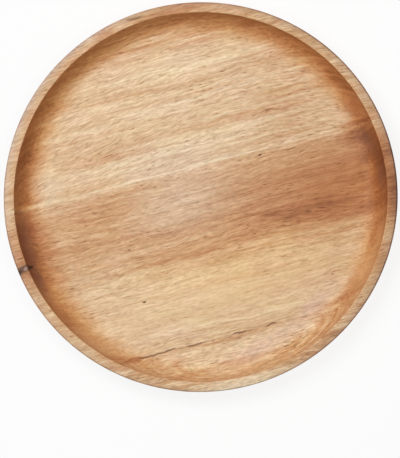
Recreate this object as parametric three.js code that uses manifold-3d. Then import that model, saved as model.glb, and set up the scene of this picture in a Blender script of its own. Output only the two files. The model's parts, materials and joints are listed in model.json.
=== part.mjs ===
// Wooden dessert plate: a blank of three boards, edge-glued side by side, then turned to a shallow dish.
// Millimetres, +Z up. The origin is the middle of the flat underside and +X runs along the grain.

import * as THREE from 'three';
import { mergeVertices, toCreasedNormals } from 'three/addons/utils/BufferGeometryUtils.js';
import Module from 'manifold-3d';

// Outline: the plate is turned round, and the wood has since dried a little narrower across its grain.
const DIAMETER_ALONG_GRAIN = 201.2;
const DIAMETER_ACROSS_GRAIN = 198.8;

// Turned section, measured along the grain.
const PLATE_HEIGHT = 18.5;
const FLOOR_THICKNESS = 6;
const RIM_WIDTH = 5.3;
const RIM_OUTER_ROUND = 1;
const RIM_INNER_ROUND = 0.6;
const COVE_RADIUS = 11.5;
const HEEL_WIDTH = 14.8;
const HEEL_HEIGHT = 16.8;

// Boards, from the front edge of the plate backwards. The back board takes up what is left.
const FRONT_BOARD_WIDTH = 27;
const CENTRE_BOARD_WIDTH = 88.3;
const GLUE_THICKNESS = 0.2;

// Fineness of the facets.
const TURN_STEPS = 96;
const LARGE_CURVE_STEPS = 9;
const SMALL_CURVE_STEPS = 3;
const CREASE_ANGLE = THREE.MathUtils.degToRad(40);

// Room by which a cutting slab stands clear of the blank on its open sides.
const CUT_MARGIN = 10;

const wasm = await Module();
wasm.setup();

// A quarter ellipse of the section: middle, half-axes across and up, start and end angle in quarter turns.
function quarterCurve(middle, across, up, fromQuarter, toQuarter, steps) {
  const from = fromQuarter * Math.PI / 2;
  const to = toQuarter * Math.PI / 2;
  const curve = new THREE.EllipseCurve(middle.x, middle.y, across, up, from, to, to < from);
  return curve.getPoints(steps);
}

// The turned section, from the middle of the underside round the wall and back to the middle of the floor.
function turnedSection() {
  const outside = DIAMETER_ALONG_GRAIN / 2;
  const inside = outside - RIM_WIDTH;
  const heelHeight = Math.min(HEEL_HEIGHT, PLATE_HEIGHT - RIM_OUTER_ROUND);
  const coveHeight = Math.min(COVE_RADIUS, PLATE_HEIGHT - FLOOR_THICKNESS - RIM_INNER_ROUND);

  const heelMiddle = new THREE.Vector2(outside - HEEL_WIDTH, heelHeight);
  const outerRoundMiddle = new THREE.Vector2(outside - RIM_OUTER_ROUND, PLATE_HEIGHT - RIM_OUTER_ROUND);
  const innerRoundMiddle = new THREE.Vector2(inside + RIM_INNER_ROUND, PLATE_HEIGHT - RIM_INNER_ROUND);
  const coveMiddle = new THREE.Vector2(inside - COVE_RADIUS, FLOOR_THICKNESS + coveHeight);

  return [
    new THREE.Vector2(0, 0),
    ...quarterCurve(heelMiddle, HEEL_WIDTH, heelHeight, -1, 0, LARGE_CURVE_STEPS),
    ...quarterCurve(outerRoundMiddle, RIM_OUTER_ROUND, RIM_OUTER_ROUND, 0, 1, SMALL_CURVE_STEPS),
    ...quarterCurve(innerRoundMiddle, RIM_INNER_ROUND, RIM_INNER_ROUND, 1, 2, SMALL_CURVE_STEPS),
    ...quarterCurve(coveMiddle, COVE_RADIUS, coveHeight, 0, -1, LARGE_CURVE_STEPS),
    new THREE.Vector2(0, FLOOR_THICKNESS),
  ];
}

// A closed geometry as a solid: only positions are kept, shared corners are merged, flat triangles dropped.
function solidFrom(geometry) {
  geometry.deleteAttribute('normal');
  geometry.deleteAttribute('uv');
  const merged = mergeVertices(geometry);
  const corners = merged.index.array;
  const triangles = [];
  for (let i = 0; i < corners.length; i += 3) {
    const [a, b, c] = corners.slice(i, i + 3);
    if (a !== b && b !== c && c !== a) {
      triangles.push(a, b, c);
    }
  }
  return new wasm.Manifold(new wasm.Mesh({
    numProp: 3,
    vertProperties: merged.attributes.position.array,
    triVerts: Uint32Array.from(triangles),
  }));
}

// The whole plate as it leaves the lathe, drawn in across the grain by drying.
function turnedPlate() {
  const turned = new THREE.LatheGeometry(turnedSection(), TURN_STEPS);
  turned.rotateX(Math.PI / 2);
  turned.scale(1, DIAMETER_ACROSS_GRAIN / DIAMETER_ALONG_GRAIN, 1);
  return solidFrom(turned);
}

// A slab of the blank with its edges square to the underside, between two places across the grain.
function blankSlab(front, back) {
  const reach = DIAMETER_ALONG_GRAIN / 2 + CUT_MARGIN;
  const plan = new THREE.Shape([
    new THREE.Vector2(-reach, front),
    new THREE.Vector2(reach, front),
    new THREE.Vector2(reach, back),
    new THREE.Vector2(-reach, back),
  ]);
  const slab = new THREE.ExtrudeGeometry(plan, {
    depth: PLATE_HEIGHT + 2 * CUT_MARGIN,
    bevelEnabled: false,
  });
  slab.translate(0, 0, -CUT_MARGIN);
  return solidFrom(slab);
}

// What the lathe leaves of one slab, as a named mesh with its own material.
function turnedPiece(name, front, back, material) {
  const { vertProperties, triVerts } = plateSolid.intersect(blankSlab(front, back)).getMesh();
  const geometry = new THREE.BufferGeometry();
  geometry.setAttribute('position', new THREE.BufferAttribute(vertProperties, 3));
  geometry.setIndex(new THREE.BufferAttribute(triVerts, 1));
  const mesh = new THREE.Mesh(toCreasedNormals(geometry, CREASE_ANGLE), material);
  mesh.name = name;
  return mesh;
}

// An oiled, hand-rubbed board of the given colour.
function oiledWood(colour) {
  return new THREE.MeshStandardMaterial({ color: colour, roughness: 0.55, metalness: 0 });
}

// A cured glue film, a little browner than the wood it joins.
function curedGlue() {
  return new THREE.MeshStandardMaterial({ color: 0x9a6a42, roughness: 0.45, metalness: 0 });
}

// Places of the two joints, and of the glue film's faces on either side of each.
const frontJoint = FRONT_BOARD_WIDTH - DIAMETER_ACROSS_GRAIN / 2;
const backJoint = frontJoint + CENTRE_BOARD_WIDTH;
const halfGlue = GLUE_THICKNESS / 2;
const pastTheRim = DIAMETER_ACROSS_GRAIN / 2 + CUT_MARGIN;
const plateSolid = turnedPlate();

const plate = new THREE.Group();
plate.name = 'wooden_dessert_plate';
plate.add(
  turnedPiece('back_board', backJoint + halfGlue, pastTheRim, oiledWood(0xdcb98a)),
  turnedPiece('back_glue_line', backJoint - halfGlue, backJoint + halfGlue, curedGlue()),
  turnedPiece('centre_board', frontJoint + halfGlue, backJoint - halfGlue, oiledWood(0xcb9a68)),
  turnedPiece('front_glue_line', frontJoint - halfGlue, frontJoint + halfGlue, curedGlue()),
  turnedPiece('front_board', -pastTheRim, frontJoint - halfGlue, oiledWood(0xd8ae84)),
);

export default plate;
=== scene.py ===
# %% [markdown]
# # A wooden dessert plate
# The real plate starts as a blank: boards planed straight, edge-glued side by side, then turned on a lathe
# to a shallow dish and rubbed with oil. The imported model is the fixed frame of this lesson. It gives every
# piece its place and size, and the cells below add what a lathe and an oil rag leave: smooth turned skins,
# grain, pores and sheen.

# %% Load the frame
import json
import math
from functools import cached_property

import bmesh
import bpy
import numpy as np
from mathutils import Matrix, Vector


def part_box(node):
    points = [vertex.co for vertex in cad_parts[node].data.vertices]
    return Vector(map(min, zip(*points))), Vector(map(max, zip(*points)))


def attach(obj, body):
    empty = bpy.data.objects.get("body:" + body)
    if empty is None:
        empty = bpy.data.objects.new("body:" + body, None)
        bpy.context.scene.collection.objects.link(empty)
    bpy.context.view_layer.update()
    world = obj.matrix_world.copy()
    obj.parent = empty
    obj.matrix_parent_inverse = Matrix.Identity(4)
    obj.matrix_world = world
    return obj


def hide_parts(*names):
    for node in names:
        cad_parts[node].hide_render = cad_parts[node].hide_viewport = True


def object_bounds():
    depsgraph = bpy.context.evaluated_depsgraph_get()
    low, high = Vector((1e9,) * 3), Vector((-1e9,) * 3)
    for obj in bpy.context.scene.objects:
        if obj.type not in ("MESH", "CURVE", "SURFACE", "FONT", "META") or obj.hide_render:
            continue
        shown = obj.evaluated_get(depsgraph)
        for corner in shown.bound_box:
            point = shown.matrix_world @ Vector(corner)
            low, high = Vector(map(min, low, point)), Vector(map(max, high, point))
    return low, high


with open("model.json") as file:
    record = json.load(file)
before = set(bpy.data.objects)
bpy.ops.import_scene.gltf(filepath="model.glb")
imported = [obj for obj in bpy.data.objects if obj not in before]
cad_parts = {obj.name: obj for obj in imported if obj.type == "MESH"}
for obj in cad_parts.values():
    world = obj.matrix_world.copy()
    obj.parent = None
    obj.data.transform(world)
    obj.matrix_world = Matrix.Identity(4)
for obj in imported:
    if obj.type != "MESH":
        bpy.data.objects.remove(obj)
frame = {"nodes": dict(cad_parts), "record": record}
cad_low, cad_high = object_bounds()
print("pieces in the frame:", sorted(frame["nodes"]))

# %% [markdown]
# ## Sizes
# Overall sizes, the floor of the well and the joints are read from the frame, so the looks follow the model
# if it changes. The plate has dried a little narrower across its grain, so a circle of the lathe is now an
# oval: every shape below is worked out round, and drawn in by one ratio at the end.

# %% Sizes that the frame gives
MM = 0.001
half_along = (cad_high.x - cad_low.x) / 2
half_across = (cad_high.y - cad_low.y) / 2
drying = half_across / half_along
plate_height = cad_high.z
mounts = {mount["name"]: mount for mount in frame["record"]["mounts"]}
floor_height = mounts["well_floor"]["pos_m"][2]
print(f"rim {2 * half_along / MM:.1f} by {2 * half_across / MM:.1f} mm, height {plate_height / MM:.1f} mm")

# %% [markdown]
# ## The turned section
# A turned shape is one profile carried round an axis. Every round stretch of this one is a quarter of an
# ellipse, so the profile needs only a few real sizes. Each sample keeps its radius, its height and its
# lean: how far the surface faces away from the axis, 1 on an upright outer wall.

# %% Round and level stretches
def quarter(middle, half_axes, start, end, samples, facing=1):
    """Quarter of an ellipse: middle plus half-axes times cosine and sine of an angle that runs evenly from
    start to end quarter turns. The lean is the sideways share of its normal, turned round where facing is
    -1. Every sample lies right on its own circle, which is a share of 1."""
    angle = np.linspace(start, end, samples) * np.pi / 2
    across, up = np.cos(angle), np.sin(angle)
    normal = np.stack([across / half_axes[0], up / half_axes[1]])
    lean = facing * normal[0] / np.linalg.norm(normal, axis=0)
    return middle[0] + half_axes[0] * across, middle[1] + half_axes[1] * up, lean, np.ones(samples)


def flat(radius, height, start, end, samples):
    """A level stretch: one circle and one height for all samples, each at a share of the way out to it."""
    same = np.ones(samples)
    return radius * same, height * same, 0 * same, np.linspace(start, end, samples)


# %% [markdown]
# The profile runs from the middle of the underside, up the rounded heel and the wall, over the rim and its
# two eased edges, and down the cove to the middle of the floor. The Spin tool could carry it round, but
# each board has to end at its joints, so the profile is kept as numbers.

# %% Profile of the plate
RIM_WIDTH = 5.3 * MM
RIM_OUTER_ROUND = 1.0 * MM
RIM_INNER_ROUND = 0.6 * MM
COVE_RADIUS = 11.5 * MM
HEEL_WIDTH = 14.8 * MM
HEEL_HEIGHT = 16.8 * MM
LARGE_CURVE_SAMPLES = 30
SMALL_CURVE_SAMPLES = 9
FLAT_SAMPLES = 16

rim_inside = half_along - RIM_WIDTH
foot_radius = half_along - HEEL_WIDTH
cove_start = rim_inside - COVE_RADIUS
outer_round_middle = (half_along - RIM_OUTER_ROUND, plate_height - RIM_OUTER_ROUND)
inner_round_middle = (rim_inside + RIM_INNER_ROUND, plate_height - RIM_INNER_ROUND)
lower_spans = [
    flat(foot_radius, 0, 0, 1, FLAT_SAMPLES),
    quarter((foot_radius, HEEL_HEIGHT), (HEEL_WIDTH, HEEL_HEIGHT), -1, 0, LARGE_CURVE_SAMPLES),
]
upper_spans = [
    quarter(outer_round_middle, (RIM_OUTER_ROUND,) * 2, 0, 1, SMALL_CURVE_SAMPLES),
    quarter(inner_round_middle, (RIM_INNER_ROUND,) * 2, 1, 2, SMALL_CURVE_SAMPLES),
    quarter((cove_start, floor_height + COVE_RADIUS), (COVE_RADIUS,) * 2, 0, -1, LARGE_CURVE_SAMPLES, -1),
    flat(cove_start, floor_height, 1, 0, FLAT_SAMPLES),
]
lower = np.concatenate(lower_spans, axis=1)
upper = np.concatenate(upper_spans, axis=1)
section_radius, section_height, section_lean, section_share = np.concatenate([lower, upper], axis=1)
lower_radius, lower_height, lower_lean, _ = lower
upper_radius, upper_height, upper_lean, _ = upper[:, ::-1]
print(f"section of {len(section_radius)} samples, floor flat to {cove_start / MM:.1f} mm from the middle")

# %% [markdown]
# ## A board cut from the plate
# Each board is the part of the turned dish between two upright joint planes. A boolean cut would leave
# ragged triangles along the joint, so the board is drawn directly. First its plan outline is walked once
# round: arcs of the rim and, between them, straight stretches along its joints.

# %% Plan outline of a board
RIM_STEP = math.radians(0.4)
JOINT_STEP = 1.0 * MM
FEWEST_RIM_POINTS = 4


def joint_line(corner):
    """Points between a rim corner and its mirror image, without the ends; none where the rim closes."""
    points = int(2 * abs(corner[0]) / JOINT_STEP)
    along = np.linspace(corner[0], -corner[0], points + 2)[1:-1]
    return np.stack([along, np.full(points, corner[1])], axis=1)


def plan_outline(front, back):
    """Outline of the plan between two joints: a straight stretch along each joint, and between them the
    arcs of the rim, from the angle where it meets one joint to the angle where it meets the other."""
    low, high = (np.clip(place / half_across, -1, 1) for place in (front, back))
    start, end = np.arcsin(low), np.arcsin(high)
    arc = np.linspace(start, end, max(FEWEST_RIM_POINTS, int((end - start) / RIM_STEP)))
    right = half_along * np.stack([np.cos(arc), np.sin(arc)], axis=1)
    left = right[::-1] * (-1, 1)
    sides = [right, joint_line(right[-1]), left, joint_line(left[-1])]
    return np.concatenate([side for side in sides if len(side)])


print(f"rim in steps of {half_along * RIM_STEP / MM:.1f} mm, joints in steps of {JOINT_STEP / MM:.1f} mm")

# %% [markdown]
# From one point inside the outline, the pole, a ray runs to every outline point, and the section is carried
# along each ray. Where a ray meets a joint before it meets the rim, the rest of its samples fold down onto
# the joint plane and make the glued face.

# %% Skin of a board
TOUCHING = 1e-9


def board_skin(front, back, pole):
    """Grid of points, section samples by outline points, and how much each point faces along the grain. A
    ray from the pole meets the circle of each sample where its distance is minus the pole's share along the
    ray plus the root of that share squared plus radius squared minus pole squared. A sample past the
    outline stays on it, between the lower and upper skin. The facing is the lean times the cosine of the
    way from the axis."""
    outline = plan_outline(front, back)
    ray = outline - pole
    reach = np.linalg.norm(ray, axis=1)
    ray = ray / reach[:, None]
    share = ray @ pole
    to_circle = np.sqrt(share**2 + section_radius[:, None] ** 2 - pole @ pole) - share
    distance = section_share[:, None] * to_circle
    past = distance > reach + TOUCHING

    edge = np.linalg.norm(outline, axis=1)
    edge_low = np.interp(edge, lower_radius, lower_height)
    edge_high = np.interp(edge, upper_radius, upper_height)
    height = np.broadcast_to(section_height[:, None], past.shape)
    height = np.where(past, np.clip(height, edge_low, edge_high), height)
    edge_lean = np.where(
        height < edge_high,
        np.interp(edge, lower_radius, lower_lean),
        np.interp(edge, upper_radius, upper_lean),
    )
    lean = np.where(past, edge_lean, section_lean[:, None])

    cut = np.flatnonzero(past.any(axis=0))
    first = past.argmax(axis=0)[cut]
    last = len(section_radius) - 1 - past[::-1].argmax(axis=0)[cut]
    height[first, cut] = edge_low[cut]
    height[last, cut] = edge_high[cut]

    plan = pole + ray * np.minimum(distance, reach)[:, :, None]
    points = np.stack([plan[:, :, 0], plan[:, :, 1] * drying, height], axis=2)
    from_axis = np.maximum(np.linalg.norm(plan, axis=2), TOUCHING)
    return points, np.abs(lean * plan[:, :, 0] / from_axis)


# %% [markdown]
# ## From grid to mesh
# The grid closes on itself round the outline, and its first and last rows shrink to one point each. Merging
# those doubles closes the poles and the folded stretches, so the result is one watertight body. How much a
# point faces along the grain is stored with it: such end grain drinks more oil and turns darker, and the
# finish reads that.

# %% Make a closed mesh of a board
MERGE_DISTANCE = 1e-6
SHARP_ANGLE = math.radians(40)
END_GRAIN = "end_grain"


def in_scene(name, data):
    """A new object of the scene that shows a mesh, a camera or a light."""
    shown = bpy.data.objects.new(name, data)
    bpy.context.scene.collection.objects.link(shown)
    return shown


def closed_piece(name, points, end_grain):
    """A mesh object whose faces join each grid point to its neighbours, and the last column to the first."""
    rows, columns = points.shape[:2]
    index = np.arange(rows * columns).reshape(rows, columns)
    beside = np.roll(index, -1, axis=1)
    faces = np.stack([index[:-1], beside[:-1], beside[1:], index[1:]], axis=2).reshape(-1, 4)
    mesh = bpy.data.meshes.new(name)
    mesh.from_pydata(points.reshape(-1, 3), [], faces)
    mesh.attributes.new(END_GRAIN, "FLOAT", "POINT").data.foreach_set("value", end_grain.ravel())

    body = bmesh.new()
    body.from_mesh(mesh)
    bmesh.ops.remove_doubles(body, verts=body.verts, dist=MERGE_DISTANCE)
    bmesh.ops.dissolve_degenerate(body, edges=body.edges, dist=MERGE_DISTANCE)
    bmesh.ops.recalc_face_normals(body, faces=body.faces)
    body.to_mesh(mesh)
    open_edges = sum(not edge.is_manifold for edge in body.edges)
    body.free()

    mesh.polygons.foreach_set("use_smooth", np.ones(len(mesh.polygons), dtype=bool))
    mesh.set_sharp_from_angle(angle=SHARP_ANGLE)
    piece = in_scene(name, mesh)
    weighted = piece.modifiers.new("even_normals", "WEIGHTED_NORMAL")
    weighted.keep_sharp = True
    print(f"{name}: {len(mesh.polygons)} faces, {open_edges} open edges")
    return piece


# %% [markdown]
# The pole lies about the middle of its board, so that the faces are alike all round. It also has to lie on
# the floor of the well, because a ray must start inside every circle of the section. A glue line is made in
# the same way as a board: it is only a much narrower one.

# %% Turn the boards and glue lines
BACK_POLE = 45 * MM
CENTRE_POLE = -25 * MM
FRONT_POLE = -77 * MM


def turned_piece(node, pole_across):
    """The turned piece that stands for a node of the frame, between the node's own front and back."""
    low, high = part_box(node)
    skin = board_skin(low.y, high.y, np.array([0.0, pole_across / drying]))
    piece = closed_piece(node + "_turned", *skin)
    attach(piece, "root")
    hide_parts(node)
    return piece


pieces = {
    "back_board": turned_piece("back_board", BACK_POLE),
    "centre_board": turned_piece("centre_board", CENTRE_POLE),
    "front_board": turned_piece("front_board", FRONT_POLE),
}
for glue_node in ("back_glue_line", "front_glue_line"):
    glue_low, glue_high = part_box(glue_node)
    pieces[glue_node] = turned_piece(glue_node, (glue_low.y + glue_high.y) / 2)

# %% [markdown]
# ## Writing a finish
# A procedural material is arithmetic on the place of each point. Written node by node, every sum would take
# three lines: make a Math node, set its operation, link its sockets. A small class wraps a node's output
# instead, so that the arithmetic can be written as plain sums and products.

# %% Sums and products of signals
class Signal:
    """One output of a node. Sums and products with numbers or other signals add the Math nodes for them."""

    def __init__(self, finish, socket):
        self.finish = finish
        self.socket = socket

    def math(self, operation, first, second=0):
        """A Math node on signals or numbers."""
        return self.finish.add("ShaderNodeMath", {"operation": operation}, {0: first, 1: second})

    def __add__(self, other):
        return self.math("ADD", self, other)

    def __sub__(self, other):
        return self.math("SUBTRACT", self, other)

    def __rsub__(self, other):
        return self.math("SUBTRACT", other, self)

    def __mul__(self, other):
        return self.math("MULTIPLY", self, other)

    def __gt__(self, other):
        return self.math("GREATER_THAN", self, other)

    def __abs__(self):
        return self.math("ABSOLUTE", self)

    __radd__ = __add__
    __rmul__ = __mul__

    def ease(self, start, end):
        """Runs smoothly from 0 at start to 1 at end, and stays level outside."""
        limits = {"Value": self, "From Min": start, "From Max": end}
        return self.finish.add("ShaderNodeMapRange", {"interpolation_type": "SMOOTHSTEP"}, limits)


# %% [markdown]
# The second class holds the nodes of one material while it is being made. One method makes any node: its
# settings first, because they decide which sockets it has, then the values or links of those sockets. All
# places are in millimetres: along the grain, across it, and up.

# %% Nodes and places
class Nodes:
    """The nodes of a material, or of the world, in the making."""

    def __init__(self, holder):
        self.holder = holder
        holder.use_nodes = True
        self.tree = holder.node_tree
        self.tree.nodes.clear()

    def add(self, kind, settings=None, sockets=None, output=0):
        """Make a node, change its settings, fill or link its sockets, and give back one of its outputs."""
        node = self.tree.nodes.new(kind)
        for name, value in (settings or {}).items():
            if name == "stops":
                self.set_stops(node.color_ramp, value)
            else:
                setattr(node, name, value)
        for name, value in (sockets or {}).items():
            if isinstance(value, Signal):
                self.tree.links.new(value.socket, node.inputs[name])
            else:
                node.inputs[name].default_value = value
        return Signal(self, node.outputs[output]) if node.outputs else None

    def set_stops(self, ramp, stops):
        """Give a colour ramp its stops, each a position and a colour."""
        while len(ramp.elements) < len(stops):
            ramp.elements.new(1)
        for element, (position, colour) in zip(ramp.elements, stops):
            element.position = position
            element.color = colour

    def vector(self, operation, first, second):
        """Vector arithmetic; a scale takes its number through a socket of its own."""
        sockets = {0: first, "Scale" if operation == "SCALE" else 1: second}
        return self.add("ShaderNodeVectorMath", {"operation": operation}, sockets)

    def length(self, place):
        """Distance of a place from zero."""
        return self.add("ShaderNodeVectorMath", {"operation": "LENGTH"}, {0: place}, "Value")

    def axis(self, place, name):
        """One of the three numbers of a place."""
        return self.add("ShaderNodeSeparateXYZ", sockets={0: place}, output=name)

    def point(self, along, across, up):
        """A place from its three numbers."""
        return self.add("ShaderNodeCombineXYZ", sockets={"X": along, "Y": across, "Z": up})

    @cached_property
    def place(self):
        """The place of each point in millimetres."""
        return self.vector("SCALE", self.add("ShaderNodeTexCoord", output="Object"), 1 / MM)

    @cached_property
    def along(self):
        """Millimetres along the grain, to the right of the middle."""
        return self.axis(self.place, "X")

    @cached_property
    def across(self):
        """Millimetres across the grain, behind the middle."""
        return self.axis(self.place, "Y")

    @cached_property
    def up(self):
        """Millimetres above the table."""
        return self.axis(self.place, "Z")


# %% [markdown]
# A finish adds the few patterns that wood needs: noise stretched along the grain, and a spindle, which is a
# soft long spot for a streak. It also mixes colours, and ends in the one shader that wood and glue share.

# %% Patterns and colours
class Finish(Nodes):
    """Nodes with the patterns of wood."""

    def noise(self, place, sizes, detail=2, roughness=0.55):
        """Smooth noise about zero, with features of the given sizes along, across and up."""
        sockets = {"Vector": self.vector("DIVIDE", place, sizes), "Scale": 1}
        sockets.update({"Detail": detail, "Roughness": roughness})
        return self.add("ShaderNodeTexNoise", sockets=sockets) - 0.5

    def spindle(self, place, middle, half_sizes, turn=0, core=0):
        """A soft long spot: 1 in its core and 0 beyond its half-sizes, turned in the plane of the plate."""
        sockets = {"Vector": place, "Location": middle, "Scale": half_sizes}
        sockets["Rotation"] = (0, 0, math.radians(turn))
        inside = self.add("ShaderNodeMapping", {"vector_type": "TEXTURE"}, sockets)
        return self.length(inside).ease(1, core)

    def mix(self, factor, first, second, blend="MIX"):
        """Mix two colours by a factor."""
        settings = {"data_type": "RGBA", "blend_type": blend}
        return self.add("ShaderNodeMix", settings, {0: factor, 6: first, 7: second}, 2)

    def shine(self, **sockets):
        """End the material with the shader of oiled wood or glue; its sockets are named with underscores."""
        names = {name.replace("_", " "): value for name, value in sockets.items()}
        surface = self.add("ShaderNodeBsdfPrincipled", sockets=names)
        self.add("ShaderNodeOutputMaterial", sockets={"Surface": surface})
        return self.holder


def tint(red, green, blue):
    """A colour written as it looks on screen, 0 to 255, changed to the linear light that nodes work in."""
    shade = np.array([red, green, blue]) / 255
    linear = np.where(shade <= 0.04045, shade / 12.92, ((shade + 0.055) / 1.055) ** 2.4)
    return (*linear.tolist(), 1.0)


def grey(light):
    """A grey that gives back this share of the light."""
    return (light, light, light, 1)


print(f"a grey of 128 on screen is {tint(128, 128, 128)[0]:.2f} of full light")

# %% [markdown]
# ## Tones of the wood
# Sapwood, heartwood and oiled wood of this plate lie on one line of colours: cream, tan, red-brown and dark
# brown. So each finish adds up a single number, the tone, from everything that makes the wood darker, and
# one ramp turns the sum into a colour. Every mixture is then a colour that such wood really has, which many
# colours mixed one over another would not give.

# %% Tones from cream to dark brown
DARKEST_TONE = 1.6
WOOD_TONES = {
    0.00: tint(240, 216, 180),
    0.25: tint(222, 188, 149),
    0.50: tint(205, 157, 113),
    0.75: tint(184, 126, 85),
    1.00: tint(148, 92, 58),
    1.30: tint(112, 66, 42),
    DARKEST_TONE: tint(84, 48, 34),
}
TONE_STOPS = [(tone / DARKEST_TONE, colour) for tone, colour in WOOD_TONES.items()]
print(f"{len(TONE_STOPS)} tones of wood")

# %% [markdown]
# ## Grain
# A picture of grain would have to be stretched over floor, cove and rim. Noise fills the whole block
# instead, as grain does, so every turned surface cuts it where the lathe cut the wood. Two soft waves push
# the grain sideways, so that no line runs straight.

# %% Places that follow the grain
SEED_STEP = (137, 59, 83)
LONG_WAVE_PUSH = 7.0
LONG_WAVE_SIZES = (90, 35, 35)
SHORT_WAVE_PUSH = 2.4
SHORT_WAVE_SIZES = (12, 6, 6)


def follow_grain(finish, seed):
    """The place pushed sideways by two waves, and the same place moved to its own part of the noise."""
    own = finish.vector("ADD", finish.place, tuple(seed * step for step in SEED_STEP))
    long_wave = LONG_WAVE_PUSH * finish.noise(own, LONG_WAVE_SIZES, 1)
    short_wave = SHORT_WAVE_PUSH * finish.noise(own, SHORT_WAVE_SIZES, 1)
    push = finish.point(0, long_wave + short_wave, 0)
    return finish.vector("ADD", finish.place, push), finish.vector("ADD", own, push)


# %% [markdown]
# A board shows lines of several lengths: growth rings over its whole length, strands, fibres, and short
# dashes and pores of cut vessels. Each is noise stretched along the grain.

# %% Lines of the grain
def grain_lines(finish, grain, tilt, sweep):
    """Growth rings lean by tilt, so that a turned slope cuts them as arcs. Fibres follow a parabola: their
    slope is sweep[0] in the middle of the plate and changes by sweep[1] for each millimetre along it."""
    along, across, up = [finish.axis(grain, name) for name in "XYZ"]
    growth = finish.point(along, across + tilt * up, 0)
    rise = finish.along * sweep[0] + finish.along * finish.along * (sweep[1] / 2)
    slanted = finish.point(along, across - rise, up)
    lines = {
        "rings": finish.noise(growth, (120, 3.2, 1), 4, 0.62),
        "strands": finish.noise(grain, (40, 1.5, 1.5), 2, 0.6),
        "fibres": finish.noise(slanted, (6.5, 0.85, 0.85), 2, 0.6),
        "dashes": finish.noise(slanted, (2.6, 0.9, 0.9), 1),
        "cloud": finish.noise(grain, (45, 16, 16), 2),
    }
    vessels = finish.noise(slanted, (4.5, 0.6, 0.6), 1, 0.5)
    clusters = finish.noise(growth, (60, 5, 1), 2)
    lines["pores"] = (vessels + 0.35 * clusters).ease(0.14, 0.26)
    return lines


# %% [markdown]
# ## Oil and painted shade in the cove
# Oil gathers where the rag turns, most where end grain drinks it, and the cove also carries painted shade,
# so it is darker and more golden than the floor. It could be painted on by hand, but worked out from the
# height of a point and its distance from the axis, it keeps to the turned shape. So the finish first tells
# the well, the rim and the outside apart.

# %% Places on the plate
SKIN_MARGIN = 0.1
RIM_FADE = (1.2, 0.4)
rim_outer = half_along / MM
rim_inner = rim_inside / MM
cove_foot = cove_start / MM
foot_edge = foot_radius / MM
heel_top = HEEL_HEIGHT / MM
under_floor = floor_height / MM - SKIN_MARGIN
rim_start, rim_full = [plate_height / MM - below for below in RIM_FADE]


def parts_of_plate(finish):
    """Distance from the axis as it was on the lathe, and masks for the well, the rim and the outside."""
    level = finish.vector("MULTIPLY", finish.place, (1, 1 / drying, 0))
    radius = finish.length(level)
    well = (finish.up > under_floor) * (1 - (radius > rim_inner + SKIN_MARGIN))
    rim = finish.up.ease(rim_start, rim_full) * (radius > rim_inner + SKIN_MARGIN)
    return radius, well, rim, (1 - well) * (1 - rim)


print(f"cove from {cove_foot:.1f} to {rim_inner:.1f} mm, rim from there to {rim_outer:.1f} mm")

# %% [markdown]
# The edge of the darkened band is cloudy, because noise is added to the distance. The band starts further in
# on the left, where the cove lies in painted shade, and is weaker in front, where light falls into the cove.

# %% Oil that has soaked in
DARKENING_BEFORE_COVE = 3.3
DARKENING_BEFORE_RIM = 1.8
CLOUDINESS = 11


def cove_oil_and_shade(finish, grain, radius, well, end):
    """How dark the cove is from oil and painted shade: from 0 on the floor to about 1 at the top of the
    cove.
    """
    cloudy = finish.noise(grain, (24, 9, 9), 3)
    front_side = finish.across.ease(-40, -90)
    back_side = finish.across.ease(50, 85)
    left_side = finish.along.ease(-40, -90)
    # The darkening of the cove is partly oil and partly painted shade; it reaches further in on the left.
    start = cove_foot - DARKENING_BEFORE_COVE + 3.5 * front_side + 2 * back_side - 4.5 * left_side
    oil_and_shade = (radius + CLOUDINESS * cloudy).ease(start, rim_inner - DARKENING_BEFORE_RIM) * well
    # Weaker in front, where light falls into the cove.
    less_on_lit_front = 0.4 + 0.6 * finish.across.ease(-97, -5)
    more_at_the_ends = 0.85 + 0.25 * end + 0.1 * left_side
    return oil_and_shade * less_on_lit_front * more_at_the_ends


# %% [markdown]
# ## One board in the making
# A board is a finish with its own grain. It knows the parts of the plate and how much of a surface is end
# grain, which was stored as an attribute together with the shape. Fine lines are strong on the floor. They
# fade on end grain and in the calm areas that a board may have.

# %% Board
DEEP = 1000
FADING_ON_END_GRAIN = 0.75
FADING_IN_CALM = 0.45


class Wood(Finish):
    """The finish of one board, with the lines and places that its tone and colour are made from."""

    def __init__(self, name, seed, tilt=0, sweep=(0, 0), liveliness=1, calm=()):
        super().__init__(bpy.data.materials.new(name))
        self.figure, self.grain = follow_grain(self, seed)
        self.lines = grain_lines(self, self.grain, tilt, sweep)
        self.radius, self.well, self.rim, self.outside = parts_of_plate(self)
        self.end = self.add("ShaderNodeAttribute", {"attribute_name": END_GRAIN}, output="Fac")
        self.oil_and_shade = cove_oil_and_shade(self, self.grain, self.radius, self.well, self.end)
        self.fine = liveliness * (1 - FADING_ON_END_GRAIN * self.end)
        for area in calm:
            self.fine = self.fine * (1 - FADING_IN_CALM * self.streak(*area))

    def streak(self, along, across, half_length, half_width, turn=0, core=0):
        """A soft long spot that goes right through the board."""
        return self.spindle(self.figure, (along, across, 0), (half_length, half_width, DEEP), turn, core)


# %% [markdown]
# ## Tone
# Everything that makes the wood lighter or darker is added up here, first for the outside. It was oiled too,
# and its end grain is darkest. It is darker towards its left end and lighter towards its right end, partly
# from oil and partly as painted shade and painted light. The heel is darker as painted shade, and a thin
# dark line of painted shade runs round the outer edge of the rim, darkest on the right.

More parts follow.
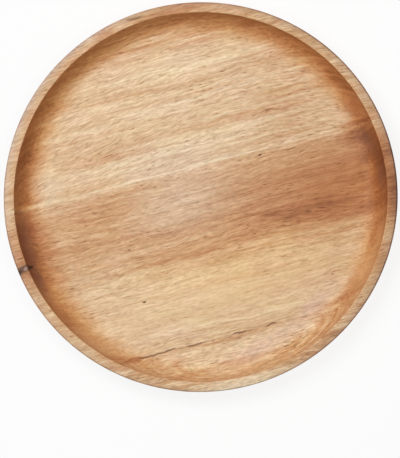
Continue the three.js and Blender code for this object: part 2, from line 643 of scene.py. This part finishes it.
# %% Tone of the outside
def outside_tone(wood):
    """What the outside adds to the tone: its oil with painted light and shade from end to end, the heel's
    painted shade, the painted dark line on the rim's outer edge and a blotchy mottle.
    """
    # Darker towards the left end and lighter towards the right end: partly oil, partly painted shade and
    # painted light.
    left = 0.55 * wood.along.ease(30, -75) + 0.2 * wood.along.ease(-60, -98)
    oil_light_and_shade = 0.16 + 0.15 * wood.end - 0.3 * wood.along.ease(0, 60) + left
    # Painted shade: the heel is darker towards the table.
    heel_shade = 0.14 * wood.up.ease(10, 1) * wood.radius.ease(foot_edge - 1.8, foot_edge + 4.2)
    # Painted shade: a thin dark line on the outer edge of the rim, most on the right.
    edge = wood.radius.ease(rim_outer - 1.0, rim_outer - 0.2) * wood.up.ease(heel_top + 0.1, heel_top + 0.9)
    edge_line_shade = edge * (0.2 + 0.4 * wood.along.ease(30, 95))
    mottle = (0.25 * wood.end + 0.2 * wood.outside) * wood.noise(wood.grain, (6, 4, 4), 2)
    return wood.outside * (oil_light_and_shade + heel_shade) + edge_line_shade + mottle


# %% [markdown]
# A whole board adds its base tone, rings, clouds and fine lines, and then streaks and patches of the rim
# that are listed for each board. How dark each kind of line makes the wood is one number, so the lines can
# be balanced in one place.

# %% Tone of one board
RIM_TONE = 0.14
# How much the cove's oil and painted shade darken the tone.
OIL_AND_SHADE_TONE = 0.5
CLOUD_TONE = 0.2
LINE_TONES = {"fibres": 0.38, "strands": 0.36, "pores": 0.22}


def add_up(lines, strengths):
    """The sum of some kinds of lines, each times its strength."""
    first, *others = [strength * lines[name] for name, strength in strengths.items()]
    return sum(others, first)


def tone_of(wood, streaks, rim_patches, base, ring_strength):
    """The base tone, rings and fine lines, then streaks, oil and painted shade in the cove, the rim and the
    outside.
    """
    rings = ring_strength * (1 - 0.6 * wood.end * wood.outside) * wood.lines["rings"]
    cloud = CLOUD_TONE * wood.lines["cloud"]
    tone = base + rings + cloud + wood.fine * add_up(wood.lines, LINE_TONES)
    for _, *place, change in streaks:
        tone = tone + change * wood.streak(*place)
    rim_tone = RIM_TONE
    for _, *place, change in rim_patches:
        rim_tone = rim_tone + change * wood.streak(*place)
    return tone + OIL_AND_SHADE_TONE * wood.oil_and_shade + wood.rim * rim_tone + outside_tone(wood)


# %% [markdown]
# ## Colour
# The ramp turns the tone into a colour. Then come tints that are not on the ramp: gold where oil and painted
# shade darken the cove, orange outside, a grey painted sheen on the outer edge of the rim, a slow drift
# between yellowish and pinkish, and glazes listed for each board, such as a stain or a painted sheen. A
# vessel cut open is a groove with a shadow, so fine lines also shade the colour, and painted shade darkens
# the outer edge of the rim, most on the right.

# %% Colour of one board
GOLDEN = (1.05, 0.98, 0.76, 1)
ORANGE = (1.16, 0.98, 0.8, 1)
YELLOWISH = (0.995, 1.008, 0.965, 1)
PINKISH = (1.005, 0.99, 1.03, 1)
# Grey of the painted sheen on the outer edge of the rim.
SHEEN_GREY = grey(0.5)
GLAZE_DEPTH = 30
LINE_SHADES = {"fibres": 0.42, "strands": 0.2, "dashes": 0.45, "pores": 0.2}


def colour_of(wood, tone, glazes):
    """Mix each tint over the colour by its share at that place, then scale the colour by what the fine lines
    and the painted shade on the outer edge of the rim leave of its light."""
    colour = wood.add("ShaderNodeValToRGB", {"stops": TONE_STOPS}, {0: tone * (1 / DARKEST_TONE)})
    paler_top = wood.radius.ease(rim_inner - 5.3, rim_inner - 0.3) * wood.across.ease(60, 0)
    # Gold where the cove is darkened by oil and painted shade.
    colour = wood.mix(wood.oil_and_shade * (1 - 0.6 * paler_top), colour, GOLDEN, "MULTIPLY")
    colour = wood.mix(wood.outside * wood.along.ease(-90, -10), colour, ORANGE, "MULTIPLY")
    rim_edge = wood.rim * wood.radius.ease(rim_inner + 1.2, rim_outer - 0.1)
    # Painted sheen: the outer edge of the rim turns grey, most towards the back and left.
    edge_sheen = 0.08 + 0.2 * wood.along.ease(20, -50) * wood.across.ease(-20, 60)
    colour = wood.mix(edge_sheen * rim_edge, colour, SHEEN_GREY, "SATURATION")
    drift = wood.noise(wood.grain, (20, 8, 8), 3).ease(-0.25, 0.25)
    colour = wood.mix(1.0, colour, wood.mix(drift, YELLOWISH, PINKISH), "MULTIPLY")
    for _, along, across, up, half_length, half_width, turn, strength, glaze, blend in glazes:
        spot = wood.spindle(wood.figure, (along, across, up), (half_length, half_width, GLAZE_DEPTH), turn)
        colour = wood.mix(strength * spot * (1 - wood.outside), colour, glaze, blend)
    shade = wood.fine * add_up(wood.lines, LINE_SHADES)
    # Painted shade: the outer edge of the rim is darker, most on the right.
    edge_shade = (0.06 + 0.14 * wood.along.ease(0, 90)) * rim_edge
    return wood.vector("SCALE", colour, (1 - shade) * (1 - edge_shade))


# %% [markdown]
# ## Surface
# Specks and the knot lie over everything else. The surface itself is oiled wood: a soft shine, duller in
# the pores, with fibres that stand up by about a tenth of a millimetre. Such relief is far too fine to
# model, so it is a bump.

# %% Surface of one board
RELIEF_HEIGHT = 0.15 * MM
RELIEF_STRENGTH = 0.3
OILED_SHINE = 0.2
OILED_DULLNESS = 0.5


def finished(wood, colour, marks=()):
    """Put the marks over the colour and end the material."""
    for _, middle, half_sizes, turn, strength, mark in marks:
        spot = wood.spindle(wood.figure, middle, half_sizes, turn).ease(0, 0.6)
        colour = wood.mix(strength * spot, colour, mark)
    fibres = wood.lines["fibres"]
    pores = wood.lines["pores"]
    relief = {"Strength": RELIEF_STRENGTH, "Distance": RELIEF_HEIGHT, "Height": 0.6 * fibres - pores}
    bump = wood.add("ShaderNodeBump", sockets=relief)
    dullness = OILED_DULLNESS + 0.25 * fibres + 0.1 * pores
    return wood.shine(Base_Color=colour, Roughness=dullness, Normal=bump, Specular_IOR_Level=OILED_SHINE)


# %% [markdown]
# ## The dark joint
# The front joint shows as a dark, broken line: the edges of the two boards chipped a little before they
# were glued, and oil and dust went in. The line wavers by about a millimetre, is thick only in a few
# stretches, and fades at its left end. The stretches are rows of place along the joint, half-length and
# strength. A thin dark strip of mesh would be a piece that the plate doesn't have, so the line is drawn in
# the finish. Both boards and the glue draw it from the same formula, so it runs on across them.

# %% Broken dark line of the front joint
front_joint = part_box("front_glue_line")[0].y / MM
CHIP_TINT = tint(100, 52, 20)
CHIP_STRENGTH = 0.8
CHIP_HALF_WIDTH = 0.22
CHIP_SOFTNESS = 0.4
WAVER = 4.5
BROKENNESS = 1.6
VERY_LONG = 900
CHIPPED_STRETCHES = [
    (-46, 9, 1.3),
    (-36, 8, 0.75),
    (-22, 10, 0.7),
    (2, 6, 1.0),
    (19, 5, 1.1),
    (37, 4, 0.6),
]


def front_joint_line(finish, colour):
    """Dark where a point lies nearer to a wavering line than a width that grows in the chipped stretches."""
    waver = WAVER * finish.noise(finish.place, (14, VERY_LONG, VERY_LONG), 4, 0.6)
    distance = abs(finish.across - front_joint - waver)
    fainter_right = 0.37 * finish.along.ease(45, 5) - 0.25
    chipped = fainter_right - 0.6 * finish.along.ease(-50, -58)
    for along, half_length, strength in CHIPPED_STRETCHES:
        stretch = finish.spindle(finish.place, (along, front_joint, 0), (half_length, DEEP, DEEP))
        chipped = chipped + strength * stretch
    gaps = BROKENNESS * finish.noise(finish.place, (5, VERY_LONG, VERY_LONG), 2)
    broken = (chipped + gaps).ease(-0.3, 1.0)
    near = (distance - CHIP_HALF_WIDTH * broken).ease(CHIP_SOFTNESS, 0)
    return finish.mix(CHIP_STRENGTH * near * broken, colour, CHIP_TINT)


print(f"front joint at {front_joint:.1f} mm with {len(CHIPPED_STRETCHES)} chipped stretches")

# %% [markdown]
# ## Features of the three boards
# No noise puts a stain where this plate has one. So its larger features are rows below, written as real
# sizes in millimetres, seen from above, and turns in degrees. The core of a streak is the share of it that
# has full strength. The back board, which comes first, names the columns.

# %% Tints of glazes and marks
# The next two tints are painted sheen: the pale bloom in the middle of the floor and a creamier one on its
# left.
SHEEN_PALE = tint(218, 200, 186)
SHEEN_CREAM = tint(234, 212, 182)
ROSY = tint(224, 188, 168)
RUSSET = tint(158, 88, 54)
PLUM = tint(120, 78, 64)
SPECK = tint(84, 50, 30)
KNOT = tint(70, 46, 38)
KNOT_HEART = tint(46, 32, 28)
BARE_CHIP = tint(172, 140, 128)
YELLOW = (1.05, 0.99, 0.84, 1)
RED = (1.05, 0.98, 0.84, 1)
ROSY_SHEEN = ("rosy sheen along the cove", 42, -69, 7, 24, 7, 30, 0.55, ROSY, "MIX")
print(f"glaze that two boards share: {ROSY_SHEEN[0]}")

# %% [markdown]
# ### Back board
# The back board is pale sapwood. Above the joint it has a pale edge, then tan and brown bands.

# %% Features of the back board
BACK_STREAKS = [
    # name, along, across, half-length, half-width, turn, core, change of tone
    ("darker towards the right", 55, 38, 40, 40, 0, 0, 0.09),
    ("pale edge along the joint", -15, 16.4, 92, 1.7, 0, 0.3, -0.3),
    ("pale edge, far left", -87, 17.5, 14, 2.2, 0, 0.2, -0.26),
    ("tan band by the joint", 35, 20.8, 75, 3.4, 0, 0.2, 0.1),
    ("tan band by the joint, left", -50, 19.5, 35, 4, 0, 0, 0.1),
    ("pale band", 0, 28, 80, 3.4, 0.5, 0.2, -0.12),
    ("pale band, right", 32, 26.5, 24, 2.5, 0, 0, -0.08),
    ("brown band, left", -45, 32, 42, 2.8, 0, 0.2, 0.16),
    ("brown band, right", 42, 34.8, 65, 3.8, 0, 0.2, 0.19),
    ("reddish blotch", -41, 32.5, 9, 2.0, 0, 0, 0.14),
    ("pale band", 0, 48.5, 90, 4.2, 0, 0.2, -0.1),
    ("tan patch", 55, 42, 40, 6, 0, 0, 0.06),
    ("row of pores", -25, 60, 48, 2.5, 0, 0.2, 0.15),
    ("tan patch", 50, 56, 25, 5, 0, 0, 0.05),
    ("pale band", 8, 69, 60, 6.5, 0, 0.2, -0.1),
    ("tan patch", 22, 78.5, 26, 4.5, 0, 0, 0.16),
    ("tan edge", 0, 83, 40, 4, 0, 0, 0.14),
    # Painted sheen: the next row lightens the floor where the pale bloom lies.
    ("bloom of wax", -8, 21, 45, 18, 0, 0, -0.06),
    ("brown wall, right", 83, 41, 6, 18, 26, 0, 0.15),
    ("brown wall, left", -79, 45, 6, 18, 150, 0, 0.12),
    ("brown wall, far left", -87.5, 23, 6, 16, 165, 0, 0.17),
    ("brown corner by the joint", 85, 17, 13, 2.6, 0, 0.3, 0.32),
    ("pale corner above it", 85, 22.5, 4, 5, 0, 0, -0.18),
]
BACK_RIM = [
    # name, along, across, half-length, half-width, change of tone
    ("brown top", 12, 97, 34, 6, 0.26),
    ("fleck", -27, 94, 9, 6, 0.24),
    ("brown right", 96, 16, 9, 8, 0.18),
    ("brown top left", -50, 84, 30, 14, 0.07),
]
BACK_GLAZES = [
    # name, along, across, up, half-length, half-width, turn, strength, tint, way of mixing
    # Painted sheen: the next two glazes are the pale bloom in the middle and the creamier one at the left.
    ("bloom of wax", -8, 21, 6, 45, 18, 0, 0.22, SHEEN_PALE, "MIX"),
    ("bloom of wax, left", -75, 24, 6, 12, 15, 0, 0.4, SHEEN_CREAM, "MIX"),
    ("russet flame", 87, 24, 9, 7, 8, 0, 0.6, RUSSET, "MIX"),
    ("brown flame", 46, 80, 9, 9, 4, -28, 0.5, RUSSET, "MIX"),
]
BACK_MARKS = [
    # name, place, half-sizes, turn, strength, tint
    ("fleck in the rim", (-10, 97.5, 18), (7, 1.2, 3), 2, 0.5, SPECK),
]
print(f"back board: {len(BACK_STREAKS)} streaks, {len(BACK_RIM)} patches of the rim")

# %% Finish of the back board
back_wood = Wood("back_board_wood", seed=1, tilt=0.5, sweep=(0.06, -0.0025), liveliness=1.1)
back_tone = tone_of(back_wood, BACK_STREAKS, BACK_RIM, base=0.24, ring_strength=0.7)
back_colour = colour_of(back_wood, back_tone, BACK_GLAZES)
finishes = {"back_board": finished(back_wood, back_colour, BACK_MARKS)}
print(f"back board: finish of {len(back_wood.tree.nodes)} nodes")

# %% [markdown]
# ### Centre board
# The centre board is red heartwood that darkens to the right and turns pale and yellow towards the front. A
# dark knot crosses its rim on the left, and a few specks lie on the floor.

# %% Streaks of the centre board
CENTRE_STREAKS = [
    ("heartwood", -10, -7, 150, 27, 0, 0.6, 0.24),
    ("red heart towards the right", 95, -12, 105, 34, -1, 0.3, 0.27),
    ("darkest streak", 62, -23, 56, 9, -4, 0.2, 0.22),
    ("dark spot", 33, -19, 9, 2.4, -4, 0, 0.18),
    ("brown band", -15, -13, 80, 6, -2, 0, 0.08),
    ("tan band", -5, -28, 80, 3.2, -1.5, 0.2, 0.11),
    ("dark line, left", -33, -26.8, 17, 1.0, -4, 0, 0.15),
    ("dark line, right", -5, -28.8, 14, 0.9, -5, 0, 0.25),
    ("yellow shoulder", 25, -34, 100, 8, 0, 0, 0.16),
    ("tan shoulder", 45, -40, 45, 9, 0, 0, 0.06),
    ("tan patch, left", -73, -30, 20, 4, 0, 0, 0.13),
    ("pale end of the yellow", 76, -36, 12, 5, 0, 0, -0.08),
    ("pale lower left edge", -66, -53, 14, 6, -30, 0, -0.1),
    ("tan patch", 20, -25, 22, 5, 0, 0, 0.08),
    ("brown patch", -60, 3, 30, 4, 0, 0, 0.1),
    ("fine line", -60, -14, 22, 0.9, -3, 0, 0.12),
    ("fine line", -62, -19.5, 18, 0.8, -3, 0, 0.1),
    ("pale line", -58, -22.5, 30, 2.6, -2, 0.2, -0.12),
    ("pale lower left", -25, -54, 62, 22, 0, 0, -0.06),
    # The next row lightens the cove's oil and painted shade on the right.
    ("less oil on the right", 89, -20, 10, 18, 0, 0.2, -0.17),
    ("dark joint line", 60, 14.9, 50, 0.7, 0, 0, 0.16),
    ("brown band under the joint", 65, 11.5, 40, 4, 0, 0.2, 0.1),
    ("brown corner by the joint", 85, 10.5, 13, 7.5, 0, 0.2, 0.26),
    ("pale spot in the cove", 89, -8.5, 7, 7.5, 0, 0, -0.2),
    ("brown arc in the cove", 80, -43, 12, 2.8, 60, 0, 0.14),
    ("brown arc in the cove", 62, -65.5, 16, 4, 44, 0.2, 0.2),
    ("brown arc high in the cove", 61, -70.5, 18, 2.2, 41, 0, 0.14),
    # Painted shade: the next row darkens the steep part of the cove in a soft arc that runs on from the
    # joint.
    ("brown arc from the joint", -62.5, -69.8, 14, 2.8, -27, 0.2, 0.18),
    ("brown edge by the joint", -54.5, -73.3, 8, 1.7, 0, 0.3, 0.32),
    ("brown edge along the joint", 10, -72, 42, 3, 0, 0.2, 0.1),
    ("brown edge by the cove", 50, -71, 14, 3, 12, 0, 0.18),
    ("brown wall, left", -88, 12, 5, 4, 0, 0, 0.16),
    ("brown lines by the cove", -81, -0.3, 9, 2.2, 0, 0, 0.16),
    ("brown lines by the cove", -81, -8.2, 9, 2.2, 0, 0, 0.15),
    ("heartwood, left", -50, 6, 24, 12, 0, 0, 0.08),
    # Painted sheen: the next row lightens the floor where the pale bloom lies.
    ("bloom of wax", -10, 2, 42, 28, 0, 0, -0.06),
]
print(f"centre board: {len(CENTRE_STREAKS)} streaks")

# %% [markdown]
# The rim of this board is brown on the left and red-brown on the right. Patches of plum and russet lie in
# its cove, on the walls near both ends.

# %% Rim, glazes and marks of the centre board
CENTRE_RIM = [
    ("red-brown right", 97, -18, 16, 38, 0.28),
    ("paler right", 97, -8, 8, 10, -0.32),
    ("brown right, lower", 80, -53, 12, 16, 0.22),
    ("brown left", -98, -17, 12, 15, 0.16),
]
CENTRE_GLAZES = [
    # Painted sheen: the next glaze is the pale bloom in the middle.
    ("bloom of wax", -10, 2, 6, 42, 28, 0, 0.26, SHEEN_PALE, "MIX"),
    ("yellow sapwood", 12, -42, 6, 100, 34, 0, 1.0, YELLOW, "MULTIPLY"),
    ("red heart", 75, -14, 6, 50, 24, 0, 1.0, RED, "MULTIPLY"),
    ("plum stain, right", 90, 8, 10, 5, 11, 10, 0.5, PLUM, "MIX"),
    ("plum stain, right", 92.5, -13, 10, 3.5, 10, -8, 0.4, PLUM, "MIX"),
    ("russet stain, left", -88.5, 5, 9, 4, 8, -4, 0.45, RUSSET, "MIX"),
    ("plum wall, left", -92, -2, 11, 5.5, 44, 0, 0.45, PLUM, "MIX"),
    ("plum stain, left", -90.5, -21, 11, 3.5, 15, 16, 0.4, PLUM, "MIX"),
    ("russet stain, lower left", -82, -43, 11, 4, 8, 30, 0.4, RUSSET, "MIX"),
    ROSY_SHEEN,
]
CENTRE_MARKS = [
    ("speck", (35.0, 13.4, 6), (1.5, 0.85, 2), 0, 0.8, SPECK),
    ("speck", (-41.5, -45.1, 6), (1.5, 0.7, 2), 0, 0.85, SPECK),
    ("small speck", (-42.3, -16.4, 6), (1.2, 0.7, 2), 0, 0.6, SPECK),
    ("small speck", (55.8, -56.5, 6), (1.0, 0.6, 2), 0, 0.6, SPECK),
    ("knot across the rim", (-97, -14.4, 16), (8.5, 2.9, 12), 12, 0.8, KNOT),
    ("heart of the knot", (-99.4, -16, 17), (2.6, 2.0, 12), 40, 0.75, KNOT_HEART),
    ("crack from the knot", (-93, -13.4, 14), (2.6, 1.1, 8), 20, 0.75, KNOT_HEART),
    ("chip in the knot", (-95.6, -14.4, 18), (1.9, 1.3, 3), 30, 0.8, BARE_CHIP),
]
print(f"centre board: {len(CENTRE_RIM)} patches of the rim, {len(CENTRE_MARKS)} marks")

# %% Finish of the centre board
PALE_AREA = (0, -52, 130, 24)
RED_AREA = (72, -8, 62, 26)
centre_wood = Wood("centre_board_wood", seed=2, tilt=-0.4, liveliness=1.1, calm=(PALE_AREA, RED_AREA))
centre_tone = tone_of(centre_wood, CENTRE_STREAKS, CENTRE_RIM, base=0.22, ring_strength=0.55)
centre_colour = colour_of(centre_wood, centre_tone, CENTRE_GLAZES)
centre_colour = front_joint_line(centre_wood, centre_colour)
finishes["centre_board"] = finished(centre_wood, centre_colour, CENTRE_MARKS)
print(f"centre board: finish of {len(centre_wood.tree.nodes)} nodes")

# %% [markdown]
# ### Front board
# The front board is pinkish. Its rings lean strongly, so the cove cuts them as arcs, and a rosy sheen runs
# along the cove.

# %% Features of the front board
FRONT_STREAKS = [
    ("pale patch", 20, -79, 50, 4, 0, 0, -0.08),
    ("brown line", -8, -86, 55, 2.8, 0, 0, 0.2),
    ("brown arc in the cove", 46, -77, 14, 3.2, 31, 0, 0.14),
    ("brown arc in the cove", -45, -76, 14, 3, -31, 0, 0.12),
    ("brown edge by the joint", -54.5, -72.2, 9, 1.8, 0, 0.2, 0.3),
    ("brown edge along the joint", 6, -74, 32, 2.8, 0, 0.2, 0.13),
]
FRONT_RIM = [
    ("pale front", -12, -97, 55, 8, -0.4),
    ("brown right", 66, -74, 10, 8, 0.06),
]
FRONT_GLAZES = [
    ROSY_SHEEN,
    ("rosy sheen in front", 14, -81.5, 7, 32, 7, 11, 0.55, ROSY, "MIX"),
]
print(f"front board: {len(FRONT_STREAKS)} streaks, {len(FRONT_RIM)} patches of the rim")

# %% Finish of the front board
front_wood = Wood("front_board_wood", seed=3, tilt=2.5, liveliness=1.35)
front_tone = tone_of(front_wood, FRONT_STREAKS, FRONT_RIM, base=0.26, ring_strength=0.95)
front_colour = colour_of(front_wood, front_tone, FRONT_GLAZES)
finishes["front_board"] = finished(front_wood, front_joint_line(front_wood, front_colour))
print(f"front board: finish of {len(front_wood.tree.nodes)} nodes")

# %% [markdown]
# ### Glue
# The two glue lines are thin enough to be seen only as lines: the back one is pale, the front one takes the
# brown of the wood beside it. Oil has made both darker outside, and towards the left they are darker still,
# partly as painted shade. In the cove the back one is darker at both ends, from oil and painted shade, and
# the front one is brown at its left end, where the dark joint line fades.

# %% Finish of the glue
FRONT_GLUE = tint(196, 150, 108)
BACK_GLUE = tint(214, 176, 138)
OILED_GLUE = tint(166, 114, 74)
DARK_GLUE = tint(104, 62, 42)
BROWN_END = -54.5
BROWN_END_HALF_SIZES = (10, 1, DEEP)
glue = Finish(bpy.data.materials.new("glue"))
glue_colour = glue.mix(glue.across > 0, FRONT_GLUE, BACK_GLUE)
# Darker towards the left, partly as painted shade.
oiled_and_shaded_glue = glue.mix(glue.along.ease(40, -60), OILED_GLUE, DARK_GLUE)
_, glue_in_well, _, glue_outside = parts_of_plate(glue)
# Both coves darken the glue with oil and painted shade.
both_coves = glue.along.ease(68, 84) + 0.5 * glue.along.ease(-82, -91)
glue_oil_and_shade = glue_outside + glue_in_well * both_coves
glue_colour = glue.mix(glue_oil_and_shade, glue_colour, oiled_and_shaded_glue)
brown_end = glue.spindle(glue.place, (BROWN_END, front_joint, 0), BROWN_END_HALF_SIZES, core=0.5)
glue_colour = glue.mix(brown_end, glue_colour, OILED_GLUE)
glue.shine(Base_Color=front_joint_line(glue, glue_colour), Roughness=OILED_DULLNESS)
finishes["back_glue_line"] = glue.holder
finishes["front_glue_line"] = glue.holder
print(f"glue: finish of {len(glue.tree.nodes)} nodes")

# %% [markdown]
# Now every piece gets its finish.

# %% Finishes and slots
for piece_name, piece in pieces.items():
    piece.data.materials.append(finishes[piece_name])
    "glue" if "glue" in piece_name else piece_name + "_wood"
    print(f"{piece_name}: finish {finishes[piece_name].name}")

# %% [markdown]
# ## Floor
# The plate lies on white paper over a light table. Seen by the camera, or mirrored in the plate, most of
# the paper is a plain glow of strength 1, which is white. The rest stays a lit surface, so the plate keeps
# its soft shadow. Light that the paper throws at the plate is half glow, so the underside isn't black. From
# below the paper is clear.

# %% Rays that see the paper
RAYS_THAT_SEE = ("Is Camera Ray", "Is Glossy Ray", "Is Transmission Ray")


def seen_directly(finish):
    """1 for a ray from the camera, a mirror image or a clear body, and 0 for a ray that gathers light."""
    camera_ray, *others = [finish.add("ShaderNodeLightPath", output=name) for name in RAYS_THAT_SEE]
    return sum(others, camera_ray)


# %% White paper
FLOOR_SIZE = 4
FLOOR_GAP = 0.2 * MM
GLOW_TOWARDS_PLATE = 0.5
GLOW_IN_VIEW = 0.88
PAPER_WHITE = grey(0.95)
bpy.ops.mesh.primitive_plane_add(size=FLOOR_SIZE, location=(0, 0, -FLOOR_GAP))
floor = bpy.context.object
floor.name = "pale_floor"
paper = Finish(bpy.data.materials.new("pale_paper"))
lit = paper.add("ShaderNodeBsdfDiffuse", sockets={"Color": PAPER_WHITE})
glow = paper.add("ShaderNodeEmission", sockets={"Strength": 1})
glow_share = GLOW_TOWARDS_PLATE + (GLOW_IN_VIEW - GLOW_TOWARDS_PLATE) * seen_directly(paper)
white_paper = paper.add("ShaderNodeMixShader", sockets={0: glow_share, 1: lit, 2: glow})
below = paper.add("ShaderNodeNewGeometry", output="Backfacing")
clear = paper.add("ShaderNodeBsdfTransparent")
either_side = paper.add("ShaderNodeMixShader", sockets={0: below, 1: white_paper, 2: clear})
paper.add("ShaderNodeOutputMaterial", sockets={"Surface": either_side})
floor.data.materials.append(paper.holder)
print(f"paper {FLOOR_SIZE} m wide, {GLOW_IN_VIEW:.0%} glow where it is seen")

# %% [markdown]
# ## Camera
# The photograph looks straight down, with the grain rising to the right. The camera is far enough away that
# the wall stays hidden under the rim. Its lens follows from that distance and the plate's width in pixels.

# %% Camera above the plate
GRAIN_RISE = math.radians(14.5)
image_right = np.array([math.cos(GRAIN_RISE), -math.sin(GRAIN_RISE), 0])
image_up = np.array([math.sin(GRAIN_RISE), math.cos(GRAIN_RISE), 0])
CAMERA_DISTANCE = 1.3
IMAGE_HEIGHT_PX = 458
PLATE_WIDTH_PX = 392.2
PLATE_OFFSET_PX = (0.7, 31.9)
metres_per_px = (half_along + half_across) / PLATE_WIDTH_PX
camera_data = bpy.data.cameras.new("camera")
camera = in_scene("camera", camera_data)
bpy.context.scene.camera = camera
camera_data.lens = camera_data.sensor_width * CAMERA_DISTANCE / (IMAGE_HEIGHT_PX * metres_per_px)
aim = -metres_per_px * (PLATE_OFFSET_PX[0] * image_right + PLATE_OFFSET_PX[1] * image_up)
camera.location = (aim[0], aim[1], plate_height + CAMERA_DISTANCE)
camera.rotation_euler = (0, 0, -GRAIN_RISE)
print(f"lens {camera_data.lens:.0f} mm, {MM / metres_per_px:.2f} pixels for each millimetre")

# %% [markdown]
# ## Light
# A soft window stands high at the upper left of the photograph, so the cove is in half shade there and
# bright on the opposite side. Its power could be tried out, but it would change with every move of the
# window. So the share of full light that it gives a level surface is written here, and the power is worked
# out: it grows with the square of the distance, and pi comes in twice, once because the window spreads its
# light over all directions and once because a matt surface does.

# %% Window
WINDOW_SHARE = 0.52
WINDOW_TURN = math.radians(138)
WINDOW_HEIGHT = math.radians(63)
WINDOW_DISTANCE = 1.2
WINDOW_SIZE = 0.5
level_way = math.cos(WINDOW_TURN) * image_right + math.sin(WINDOW_TURN) * image_up
window_way = level_way * math.cos(WINDOW_HEIGHT) + np.array([0, 0, math.sin(WINDOW_HEIGHT)])
window_data = bpy.data.lights.new("window", "AREA")
window_data.size = WINDOW_SIZE
window_data.energy = WINDOW_SHARE * math.pi**2 * WINDOW_DISTANCE**2 / math.sin(WINDOW_HEIGHT)
window = in_scene("window", window_data)
window.location = window_way * WINDOW_DISTANCE
window.rotation_euler = Vector(window_way).to_track_quat("Z", "Y").to_euler()
print(f"window of {window_data.energy:.1f} W")

# %% [markdown]
# A small lamp above the middle makes the faint bright bloom there, together with the painted sheen of the
# boards. A pale sky fills the shadows. It is white only where it is seen, so that low views have a white
# background too.

# %% Lamp and sky
LAMP_PLACE = (-0.012, 0.012, 0.3)
LAMP_SIZE = 0.08
LAMP_POWER = 0.2
SKY_SHARE = 0.22
lamp_data = bpy.data.lights.new("lamp", "AREA")
lamp_data.shape = "DISK"
lamp_data.size = LAMP_SIZE
lamp_data.energy = LAMP_POWER
lamp = in_scene("lamp", lamp_data)
lamp.location = LAMP_PLACE
lamp.visible_camera = False

studio = Finish(bpy.data.worlds.new("studio"))
sky = studio.mix(seen_directly(studio), grey(SKY_SHARE), grey(1))
background = studio.add("ShaderNodeBackground", sockets={"Color": sky})
studio.add("ShaderNodeOutputWorld", sockets={"Surface": background})
bpy.context.scene.world = studio.holder
bpy.context.scene.view_settings.view_transform = "Standard"
print(f"lamp of {LAMP_POWER} W and a sky of {SKY_SHARE}")
